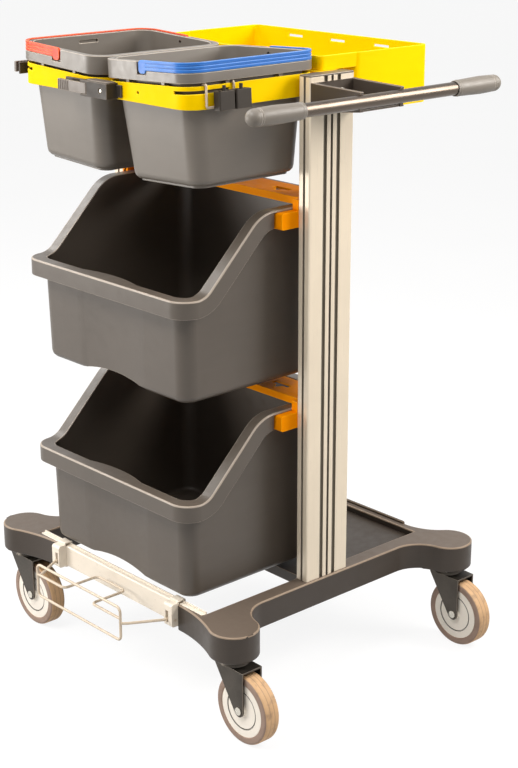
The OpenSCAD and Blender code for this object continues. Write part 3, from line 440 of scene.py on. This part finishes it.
def shape_base():
    """The base gets a wide curve round its foot and a tighter one along its top; its faces that look up get
    painted top light.
    """
    piece = copied("base_frame", "base_frame_moulded", join=False)
    low, high = corners_of("base_frame")
    middle = (low + high) / 2
    foot, top = low.z + 0.001, low.z + 0.049
    pocket_front, pocket_back = -0.2540, -0.2410

    def outer_foot(edge):
        return ends_below(edge, foot) and any(upright_outside(face, middle) for face in edge.link_faces)

    def along_top(edge):
        in_pocket = all(pocket_front < end.co.y < pocket_back for end in edge.verts)
        return ends_above(edge, top) and not in_pocket

    # the foot's rounding gets no painted edge highlight
    round_edges(piece, width=0.0032, steps=4, turn=50, where=outer_foot, marks_edge_highlight_and_rub=False)
    round_edges(piece, width=0.0027, steps=3, turn=50, where=along_top)
    # faces that look up are marked for painted top light
    mark_faces(piece, "painted_top_light", lambda face: face.normal.z > 0.9)
    finish_piece(piece, "base_frame", SHADED_BASE_GREY)


def shape_bin(node_name):
    """A bin's rim is rolled over outside and eased inside."""
    piece = copied(node_name, node_name + "_moulded")
    middle = middle_of(node_name)
    round_edges(piece, width=0.0028, steps=4, turn=55, where=lambda edge: rim_edge(edge, middle, True))
    round_edges(piece, width=0.0016, steps=3, turn=55, where=lambda edge: rim_edge(edge, middle, False))
    round_edges(piece, width=0.0006, turn=60, where=longer_than(0.004))
    finish_piece(piece, node_name)


def shape_pail(node_name):
    """A pail's rim is rolled over; short edges by its pins and slots stay crisp."""
    piece = copied(node_name, node_name + "_moulded", join=False)
    round_edges(piece, width=0.0009, steps=3, turn=50, where=longer_than(0.003))
    finish_piece(piece, node_name, PAIL_GREY)


def shape_post(node_name):
    """The drawn grooves of a post get painted shade with some dirt; its faces keep their pale colour."""
    piece = copied(node_name, node_name + "_drawn")
    round_edges(piece, width=0.0004, turn=60)
    low, high = corners_of(node_name)
    skin = 0.0009

    def in_groove(face):
        at = face.center
        deep = low.x + skin < at.x < high.x - skin and low.y + skin < at.y < high.y - skin
        return deep and abs(face.normal.z) < 0.5

    # the groove faces are marked for painted shade with some dirt
    mark_faces(piece, "groove", in_groove)
    finish_piece(piece, node_name)


# Wheels and grips

def reach_from(point, middle):
    """How far a point lies from a wheel's or a grip's own line, which runs along y."""
    return math.hypot(point.x - middle.x, point.z - middle.z)


def shape_tyre(corner):
    """A tyre's running band has two shallow lines round it."""
    node_name = "tyre_" + corner
    piece = copied(node_name, node_name + "_moulded")
    round_edges(piece, width=0.0022, steps=3)
    low, high = corners_of(node_name)
    middle = (low + high) / 2
    radius = (high.z - low.z) / 2
    line_at, line_w, line_deep = 0.0045, 0.0016, 0.0004
    for side in (-1, 1):
        for step in (-0.5, 0, 0.5):
            cut_round(piece, middle + Vector((0, side * line_at + step * line_w, 0)), (0, 1, 0))

    def line_middle(point):
        on_line = abs(abs(point.co.y - middle.y) - line_at) < 1e-5
        return on_line and reach_from(point.co, middle) > radius - 0.001

    choose(piece, "VERT", line_middle)
    smaller = (radius - line_deep) / radius
    bpy.ops.transform.resize(value=(smaller, 1, smaller), center_override=middle)
    bpy.ops.object.mode_set(mode="OBJECT")

    def running(face):
        return abs(face.normal.y) < 0.7

    def in_line(face):
        return running(face) and abs(abs(face.center.y - middle.y) - line_at) < line_w / 2

    mark_faces(piece, "running", running)
    mark_faces(piece, "groove", in_line)
    finish_piece(piece, node_name)


def shape_hub(corner):
    """The ring groove round a hub's disc gets painted shade."""
    node_name = "hub_" + corner
    piece = copied(node_name, node_name + "_moulded")
    round_edges(piece, width=0.0005)
    low, high = corners_of(node_name)
    middle = (low + high) / 2
    ring_inset, ring_half, disc_half = 0.0142, 0.0012, 0.005
    ring = (high.z - low.z) / 2 - ring_inset

    def in_ring(face):
        on_ring = abs(reach_from(face.center, middle) - ring) < ring_half
        return on_ring and abs(face.center.y - middle.y) > disc_half

    # the ring groove's faces are marked for painted shade
    mark_faces(piece, "groove", in_ring)
    finish_piece(piece, node_name)


def shape_grip(node_name, end):
    """A grip's ball end is set off by a groove."""
    piece = copied(node_name, node_name + "_moulded")
    low, high = corners_of(node_name)
    middle = (low + high) / 2
    ball_l, groove_half, groove_scale, bore_clear = 0.0205, 0.0016, 0.93, 0.0128
    tip = high.y if end > 0 else low.y
    groove_at = Vector((middle.x, tip - end * ball_l, middle.z))
    for step in (-groove_half, 0, groove_half):
        cut_round(piece, groove_at + Vector((0, step, 0)), (0, 1, 0))

    def groove_middle(point):
        return abs(point.co.y - groove_at.y) < 1e-5 and reach_from(point.co, middle) > bore_clear

    choose(piece, "VERT", groove_middle)
    bpy.ops.transform.resize(value=(groove_scale, 1, groove_scale), center_override=groove_at)
    bpy.ops.object.mode_set(mode="OBJECT")
    round_edges(piece, width=0.0012, steps=3, turn=30)
    finish_piece(piece, node_name)


# Clips

def rivet(name, place, turn):
    """A domed rivet head with a dimple, set in a clip's recess and facing the front before it is turned."""
    head_r, head_h, dome = 0.0034, 0.0024, 0.0014
    land, slope, dimple = 0.0006, 0.0004, 0.0006
    bpy.ops.mesh.primitive_cylinder_add(vertices=32, radius=head_r, depth=head_h, location=place,
                                        rotation=(math.pi / 2, 0, 0))
    piece = bpy.context.active_object
    piece.name = name
    bpy.ops.object.transform_apply(location=True, rotation=True, scale=True)
    front = place.y - head_h / 2 + 0.0001
    round_edges(piece, dome, steps=4, turn=50, marks_edge_highlight_and_rub=False,
                where=lambda edge: max(end.co.y for end in edge.verts) < front)
    choose(piece, "FACE", lambda face: face.normal.y < -0.99)
    bpy.ops.mesh.inset(thickness=land, depth=0)
    bpy.ops.mesh.inset(thickness=slope, depth=-dimple)
    bpy.ops.mesh.select_all(action="SELECT")
    bpy.ops.transform.rotate(value=turn, orient_axis="Z", center_override=place)
    bpy.ops.object.mode_set(mode="OBJECT")
    add_piece(piece, "base", BRIGHT_ZINC, "steel")


def lever_ribs():
    """Upright finger ribs on the outside of the front lever."""
    low, high = corners_of("broom_lever_front")
    rib_r, pitch, count = 0.0014, 0.0052, 6
    end_gap, sunk = 0.0022, 0.0004
    bottom, top = low.z + 0.0046, low.z + 0.0214
    first_at = Vector((low.x + end_gap, low.y + sunk, (bottom + top) / 2))
    bpy.ops.mesh.primitive_cylinder_add(vertices=20, radius=rib_r, depth=top - bottom, location=first_at)
    piece = bpy.context.active_object
    piece.name = "lever_ribs_front"
    bpy.ops.object.transform_apply(location=True, rotation=True, scale=True)
    round_edges(piece, width=0.0009, steps=3, turn=50, marks_edge_highlight_and_rub=False)
    ribs = [piece]
    for index in range(1, count):
        rib = piece.copy()
        rib.data = piece.data.copy()
        bpy.context.scene.collection.objects.link(rib)
        rib.location.x = index * pitch
        ribs.append(rib)
    only(piece)
    for rib in ribs:
        rib.select_set(True)
    bpy.ops.object.join()
    add_piece(piece, "lever_front", LEVER_GREY, "dark_plastic")


def clip_plate():
    """The thin spring plate that lies on top of the front clip."""
    low, high = corners_of("broom_clip_front")
    size = Vector((0.058, 0.019, 0.0016))
    from_end, from_front = 0.041, 0.0125
    place = Vector((high.x - from_end, low.y + from_front, high.z + size.z / 2))
    bpy.ops.mesh.primitive_cube_add(size=1, location=place, scale=size)
    piece = bpy.context.active_object
    piece.name = "clip_plate_front"
    bpy.ops.object.transform_apply(location=True, rotation=True, scale=True)
    round_edges(piece, width=0.006, steps=6, turn=50, where=taller_than(size.z / 2), marks_edge_highlight_and_rub=False)
    round_edges(piece, width=0.0005, turn=50)
    add_piece(piece, "base", LEVER_GREY, "dark_plastic")


def shape_tool_clips():
    """The tool clips are moulded with round corners and prongs."""
    piece = copied("tool_clips", "tool_clips_moulded")
    round_edges(piece, width=0.0024, steps=4, turn=60, where=taller_than(0.026), marks_edge_highlight_and_rub=False)
    round_edges(piece, width=0.0005, turn=50, where=longer_than(0.002))
    finish_piece(piece, "tool_clips")


shape_base()
for level in ("lower", "upper"):
    shape_bin("bin_" + level)
    softened("carrier_" + level, width=0.001)
for side in ("left", "right"):
    shape_pail("pail_" + side)
    softened("bail_" + side, width=0.0008, join=False)
    shape_post("post_" + side)
    softened("post_cap_" + side, width=0.0008)
softened("pail_holder", width=0.0014, steps=3)
softened("rear_tray", width=0.0011)
softened("rear_deck", width=0.0008, finish=SHADED_BASE_GREY)
softened("cross_bar", width=0.0004, turn=60)
softened("wire_clamps", width=0.0007)
softened("handle_bracket", width=0.001, finish=BRACKET_GREY, join=False)
shape_tool_clips()
for where in ("front", "side"):
    softened("broom_clip_" + where, width=0.0012, steps=3)
    softened("broom_lever_" + where, width=0.0006, finish=LEVER_GREY)
rivet("rivet_front", place=Vector((0.00525, -0.2785, 1.068)), turn=0.0)
rivet("rivet_side", place=Vector((-0.2760, -0.1365, 1.0783)), turn=math.pi / 2)
lever_ribs()
clip_plate()
for corner in CORNERS:
    softened("fork_" + corner, width=0.0005)
    shape_tyre(corner)
    shape_hub(corner)
    softened("axle_" + corner, width=0.0006, finish=BRIGHT_ZINC)
softened("swivel_races", width=0.0007, finish=BRIGHT_ZINC)
softened("bracket_screws", width=0.0006, finish=BRIGHT_ZINC)
shape_grip("grip_front", end=-1)
shape_grip("grip_rear", end=1)
smoothed("wire_rack", WIRE_CREAM)
smoothed("wire_hook", WIRE_CREAM)
smoothed("handle_tube")


# Stage, lamps and camera

FLOOR_SIZE = 60
FLOOR_GLOW, FLOOR_SHARE = 1.22, 0.72
ROOM_LIGHT, ROOM_SEEN = 0.24, 1.0
WARM, SOFT, CARD, CLEAR = (1.0, 0.96, 0.91), (1.0, 0.98, 0.95), (1.0, 0.97, 0.93), (1, 1, 1)
# Each lamp's name, place, aim, size, power and tint
LAMPS = (
    ("right_softbox", (1.35, 1.2, 1.8), (0.25, 0, 1.0), (1.0, 1.0), 44, WARM),
    ("left_softbox", (-2.2, -0.6, 2.6), (0, 0, 0.9), (1.6, 1.6), 50, SOFT),
    ("front_softbox", (0.2, -1.8, 3.0), (0, -0.2, 0.8), (1.6, 1.2), 62, SOFT),
    ("key_softbox", (2.2, -0.4, 2.7), (0.2, 0, 1.0), (1.6, 2.0), 12, WARM),
    ("top_softbox", (0.0, 0.2, 3.4), (0, 0, 0.4), (2.4, 2.4), 26, CLEAR),
    ("white_card", (-1.5, -1.9, 0.85), (0, -0.3, 0.95), (1.2, 0.6), 34, CARD),
)
CAMERA_AT = (2.14215, -1.8674, 1.4495)
CAMERA_AZIMUTH, CAMERA_PITCH, CAMERA_ROLL = (math.radians(turn) for turn in (47.885, 18.361, -0.12))
CAMERA_LENS, CAMERA_SENSOR = 76.65, 36


def seen_plainly(tree):
    """One for rays from the camera and for those that metal or glass sends on."""
    seen = tree.nodes.new("ShaderNodeLightPath")
    value = seen.outputs["Is Camera Ray"]
    for ray in ("Is Glossy Ray", "Is Transmission Ray"):
        most = tree.nodes.new("ShaderNodeMath")
        most.operation = "MAXIMUM"
        tree.links.new(value, most.inputs[0])
        tree.links.new(seen.outputs[ray], most.inputs[1])
        value = most.outputs[0]
    return value


def lay_floor():
    """A pale floor that glows a little where it is seen and keeps the shadow."""
    bpy.ops.mesh.primitive_plane_add(size=FLOOR_SIZE, location=(0, 0, 0))
    floor = bpy.context.active_object
    floor.name = "studio_floor"
    finish = bpy.data.materials.new("pale_floor")
    finish.use_nodes = True
    tree = finish.node_tree
    skin = tree.nodes["Principled BSDF"]
    out = tree.nodes["Material Output"]
    cloud = noise(tree, object_place(tree), 2.0)
    tone = ramp(tree, cloud, ((0.3, (0.46, 0.46, 0.46)), (0.7, (0.5, 0.5, 0.5))))
    tree.links.new(tone, skin.inputs["Base Color"])
    skin.inputs["Roughness"].default_value = 0.8
    glow = tree.nodes.new("ShaderNodeEmission")
    glow.inputs["Strength"].default_value = FLOOR_GLOW
    blend = tree.nodes.new("ShaderNodeMixShader")
    tree.links.new(spread(tree, seen_plainly(tree), 0.0, FLOOR_SHARE, 0.0, 1.0), blend.inputs[0])
    tree.links.new(skin.outputs["BSDF"], blend.inputs[1])
    tree.links.new(glow.outputs["Emission"], blend.inputs[2])
    tree.links.new(blend.outputs[0], out.inputs["Surface"])
    floor.data.materials.append(finish)
    floor.select_set(False)


def hang_lamp(name, place, aim, size, power, tint):
    lamp = bpy.data.lights.new(name, "AREA")
    lamp.shape = "RECTANGLE"
    lamp.size, lamp.size_y = size
    lamp.energy = power
    lamp.color = tint
    stand = bpy.data.objects.new(name, lamp)
    bpy.context.scene.collection.objects.link(stand)
    stand.visible_camera = False
    stand.location = place
    stand.rotation_euler = (Vector(aim) - Vector(place)).to_track_quat("-Z", "Y").to_euler()


def light_room():
    world = bpy.data.worlds.new("pale_room")
    bpy.context.scene.world = world
    world.use_nodes = True
    tree = world.node_tree
    room = tree.nodes["Background"]
    level = spread(tree, seen_plainly(tree), ROOM_LIGHT, ROOM_SEEN, 0.0, 1.0)
    tree.links.new(level, room.inputs["Strength"])
    room.inputs["Color"].default_value = (1, 1, 1, 1)
    for lamp in LAMPS:
        hang_lamp(*lamp)


def set_camera():
    """The photo's own view, from the camera that was fitted to it."""
    level = math.cos(CAMERA_PITCH)
    ahead = Vector((-math.sin(CAMERA_AZIMUTH) * level, math.cos(CAMERA_AZIMUTH) * level, -math.sin(CAMERA_PITCH)))
    right = Vector((math.cos(CAMERA_AZIMUTH), math.sin(CAMERA_AZIMUTH), 0))
    up = right.cross(ahead)
    turned_right = right * math.cos(CAMERA_ROLL) + up * math.sin(CAMERA_ROLL)
    turned_up = up * math.cos(CAMERA_ROLL) - right * math.sin(CAMERA_ROLL)
    view = bpy.data.cameras.new("photo_view")
    view.sensor_fit = "VERTICAL"
    view.sensor_height = CAMERA_SENSOR
    view.lens = CAMERA_LENS
    camera = bpy.data.objects.new("photo_view", view)
    bpy.context.scene.collection.objects.link(camera)
    turn = Matrix((turned_right, turned_up, -ahead)).transposed().to_4x4()
    camera.matrix_world = Matrix.Translation(CAMERA_AT) @ turn
    bpy.context.scene.camera = camera


lay_floor()
light_room()
set_camera()
bpy.context.scene.view_settings.view_transform = "Standard"
